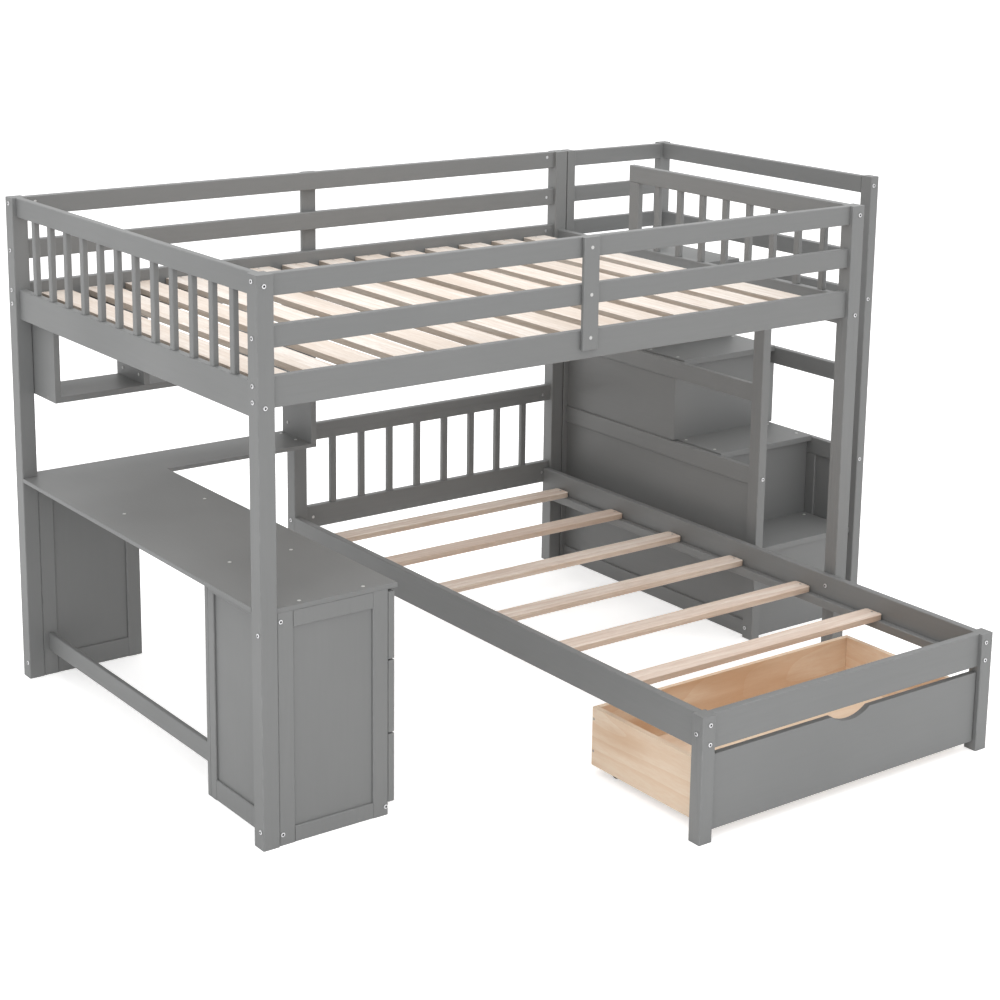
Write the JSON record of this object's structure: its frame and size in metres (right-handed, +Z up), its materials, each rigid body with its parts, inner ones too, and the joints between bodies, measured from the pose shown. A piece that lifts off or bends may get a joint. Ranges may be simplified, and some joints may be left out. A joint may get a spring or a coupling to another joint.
{
  "type": "loft bed with desk",
  "caption": "Painted loft bed over a crossways lower bunk, with an L-shaped desk, drawer pedestal, shelves, a rolling drawer and a panelled stair tower.",
  "frame": {"origin": "centre of the overall box, on the floor", "axes": "+X along the loft towards the stair tower, +Y from the lower bunk's foot towards the back, +Z up"},
  "size_m": [2.4926, 2.041, 1.458],
  "materials": {
    "grey_paint": "satin grey paint over pine and board",
    "pine": "bare planed pine",
    "steel": "zinc-plated",
    "wheel_plastic": "matte black"
  },
  "bodies": {
    "bed": {"loft_post_front_left": "grey_paint", "loft_post_front_right": "grey_paint", "loft_post_rear_left": "grey_paint", "loft_post_rear_right": "grey_paint", "front_guard_rails": "grey_paint", "rear_guard_rails": "grey_paint", "guard_battens": "grey_paint", "loft_side_rails": "grey_paint", "left_end_rails": "grey_paint", "left_end_spindles": "grey_paint", "right_end_rails": "grey_paint", "right_end_stile": "grey_paint", "right_end_spindles": "grey_paint", "loft_slat_cleats": "grey_paint", "lower_foot_posts": "grey_paint", "lower_head_post": "grey_paint", "lower_left_side_rail": "grey_paint", "lower_right_side_rail": "grey_paint", "lower_foot_rail": "grey_paint", "headboard_rails": "grey_paint", "headboard_spindles": "grey_paint", "lower_slat_cleats": "grey_paint", "desk_top": "grey_paint", "desk_cross_batten": "grey_paint", "desk_leg_frame": "grey_paint", "desk_leg_panel": "grey_paint", "desk_stretcher": "grey_paint", "pedestal_side_frames": "grey_paint", "pedestal_side_panels": "grey_paint", "pedestal_back_frame": "grey_paint", "pedestal_back_panel": "grey_paint", "pedestal_bottom": "grey_paint", "hutch_end_boards": "grey_paint", "hutch_shelves": "grey_paint", "hutch_dividers": "grey_paint", "stair_front_posts": "grey_paint", "stair_rear_posts": "grey_paint", "stair_rear_rails": "grey_paint", "stair_guard_rails": "grey_paint", "stair_side_rails": "grey_paint", "stair_side_panels": "grey_paint", "stair_treads": "grey_paint", "stair_risers": "grey_paint", "loft_slats": "pine", "lower_slats": "pine", "drawer_runners": "pine", "assembly_bolts": "steel", "barrel_nuts": "steel"},
    "desk_drawer_top": {"desk_drawer_front_top": "grey_paint", "desk_drawer_box_top": "pine"},
    "desk_drawer_middle": {"desk_drawer_front_middle": "grey_paint", "desk_drawer_box_middle": "pine"},
    "desk_drawer_bottom": {"desk_drawer_front_bottom": "grey_paint", "desk_drawer_box_bottom": "pine"},
    "rolling_drawer": {"rolling_drawer_front": "grey_paint", "rolling_drawer_box": "pine", "caster_brackets": "steel", "caster_axles": "steel"},
    "front_wheels": {"caster_wheels_front": "wheel_plastic"},
    "rear_wheels": {"caster_wheels_rear": "wheel_plastic"}
  },
  "joints": [
    {"name": "desk_drawer_top_slide", "type": "slide", "parent": "bed", "child": "desk_drawer_top", "axis": [1, 0, 0], "range_m": [0, 0.24]},
    {"name": "desk_drawer_middle_slide", "type": "slide", "parent": "bed", "child": "desk_drawer_middle", "axis": [1, 0, 0], "range_m": [0, 0.24]},
    {"name": "desk_drawer_bottom_slide", "type": "slide", "parent": "bed", "child": "desk_drawer_bottom", "axis": [1, 0, 0], "range_m": [0, 0.24]},
    {"name": "rolling_drawer_slide", "type": "slide", "parent": "bed", "child": "rolling_drawer", "axis": [0, -1, 0], "range_m": [0, 0.45]},
    {"name": "front_wheels_turn", "type": "hinge", "parent": "rolling_drawer", "child": "front_wheels", "pos_m": [0.20625, -0.9275, 0.017], "axis": [1, 0, 0], "continuous": true},
    {"name": "rear_wheels_turn", "type": "hinge", "parent": "rolling_drawer", "child": "rear_wheels", "pos_m": [0.20625, -0.5835, 0.017], "axis": [1, 0, 0], "continuous": true}
  ],
  "couplings": [
    {"joint": "front_wheels_turn", "follows": "rolling_drawer_slide", "rad_per_m": 58.824},
    {"joint": "rear_wheels_turn", "follows": "rolling_drawer_slide", "rad_per_m": 58.824}
  ]
}
